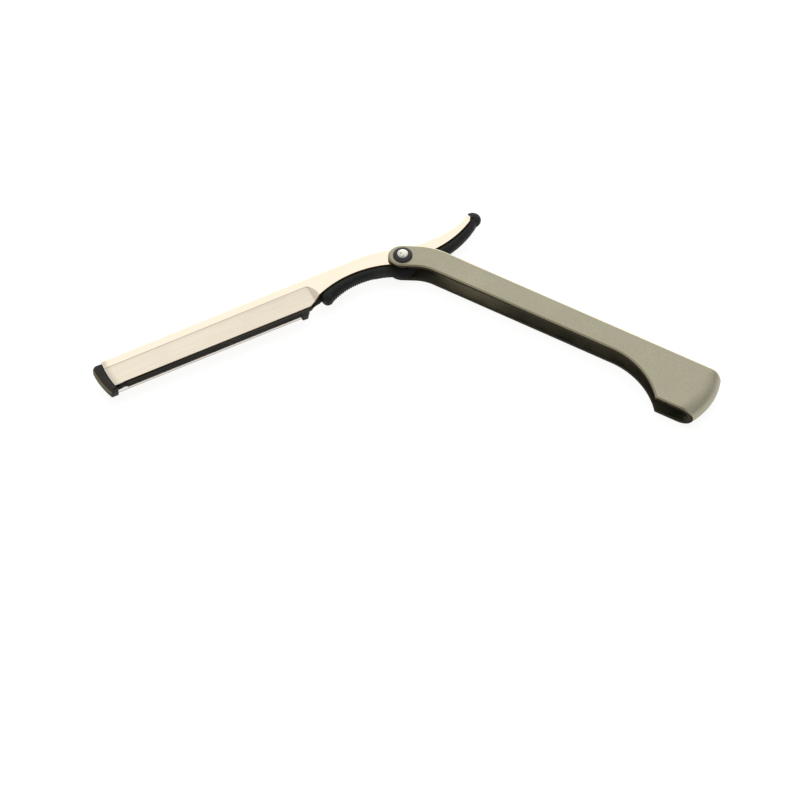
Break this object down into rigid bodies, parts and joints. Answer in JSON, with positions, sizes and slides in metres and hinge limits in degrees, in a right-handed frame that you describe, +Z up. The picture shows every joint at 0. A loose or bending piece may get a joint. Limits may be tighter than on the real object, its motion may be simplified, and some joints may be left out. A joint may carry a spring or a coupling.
{
  "type": "folding hair styling razor",
  "caption": "Folding hair styling razor: a blade slider in a folded steel cover with a ribbed black grip, pivoted in a bowed-end folded metal handle.",
  "frame": {"origin": "on the pivot's axis, on the small flat of the lower rivet head, the lowest point of the razor as it lies on its side", "axes": "+X to the right, from the blade's tip towards the handle's tail; +Y away from the viewer, square to +X in the plane of the plates; +Z up, along the pivot's axis"},
  "size_m": [0.1877, 0.0811, 0.0096],
  "materials": {
    "satin_aluminium": "satin, taupe anodised",
    "polished_steel": "fine brushed, near mirror",
    "rivet_steel": "bright",
    "blade_steel": "ground, with a brighter edge",
    "black_plastic": "moulded, low sheen",
    "black_washer": "smooth black",
    "nylon": "natural",
    "brass": "turned"
  },
  "bodies": {
    "handle": {"handle_strip": "satin_aluminium", "pivot_rivet": "rivet_steel", "upper_cup_washer": "black_washer", "lower_cup_washer": "black_washer", "upper_friction_washer": "nylon", "lower_friction_washer": "nylon"},
    "arm": {"steel_cover": "polished_steel", "grip_core": "black_plastic", "pivot_bush": "brass"},
    "slider": {"blade_slider": "black_plastic", "blade": "blade_steel"}
  },
  "joints": [
    {"name": "arm_fold", "type": "hinge", "parent": "handle", "child": "arm", "pos_m": [0, 0, 0.0048], "axis": [0, 0, 1], "range_deg": [-177.6, 122.4]},
    {"name": "slider_pull", "type": "slide", "parent": "arm", "child": "slider", "axis": [-0.8854, -0.4648, 0], "range_m": [0, 0.0018]}
  ]
}
